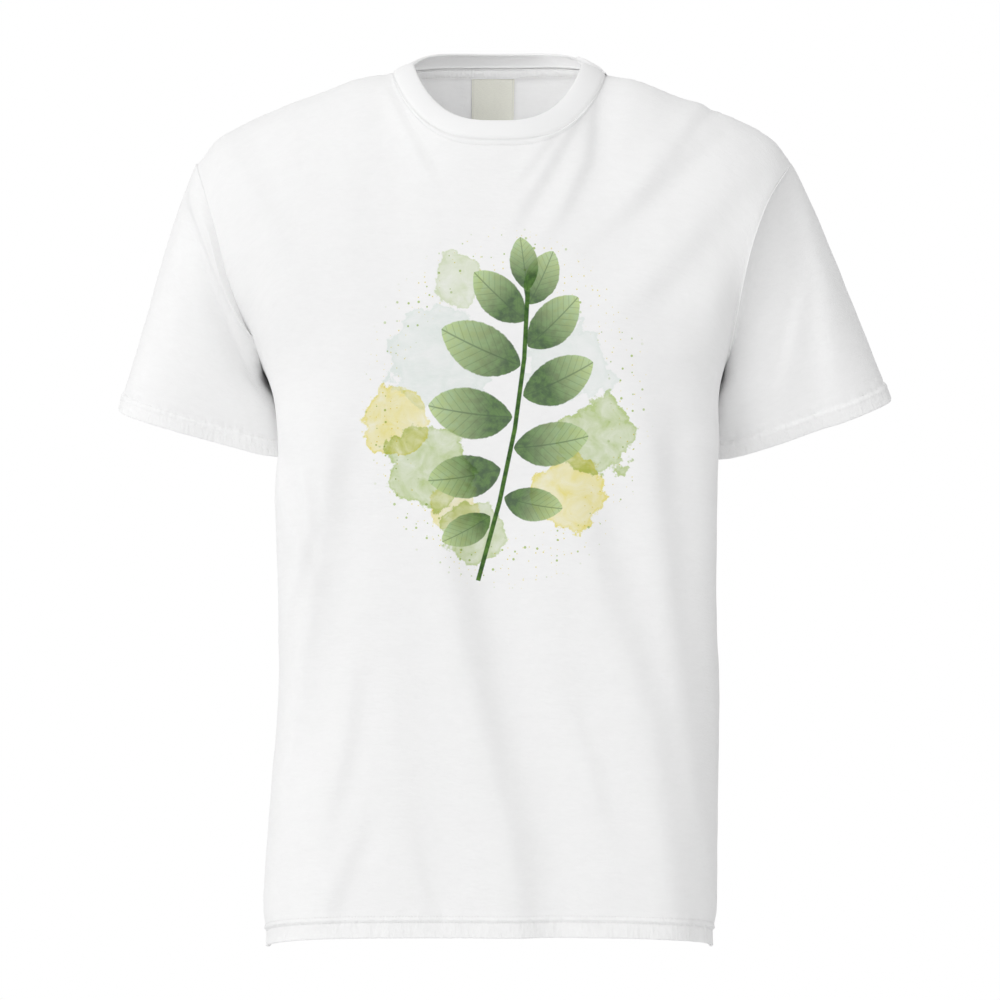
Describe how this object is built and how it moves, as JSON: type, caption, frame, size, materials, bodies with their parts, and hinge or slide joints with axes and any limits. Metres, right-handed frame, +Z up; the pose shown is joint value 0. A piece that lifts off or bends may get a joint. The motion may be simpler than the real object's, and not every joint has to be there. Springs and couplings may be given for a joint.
{
  "type": "t-shirt",
  "caption": "Crew-neck short-sleeve T-shirt in its worn shape, hollow, with a ribbed collar, back neck tape, blank woven label, turned-up hems and a leafy chest print.",
  "frame": {"origin": "base of the neck, midway between the two high shoulder points, on the garment's middle line", "axes": "+Z up along the body, -Y out of the chest, +X towards the wearer's left arm. Left and right in the node names are as seen from the front, so left_sleeve is at -X"},
  "size_m": [0.6742, 0.2813, 0.7824],
  "materials": {
    "jersey": "matt washed cotton jersey, white",
    "rib": "matt one-by-one cotton rib, white",
    "tape": "matt jersey binding, white",
    "label": "woven damask, pale sage, left blank"
  },
  "bodies": {
    "root": {"front_panel": "jersey", "back_panel": "jersey", "left_sleeve": "jersey", "right_sleeve": "jersey", "rib_collar": "rib", "neck_tape": "tape", "neck_label": "label"}
  },
  "joints": []
}
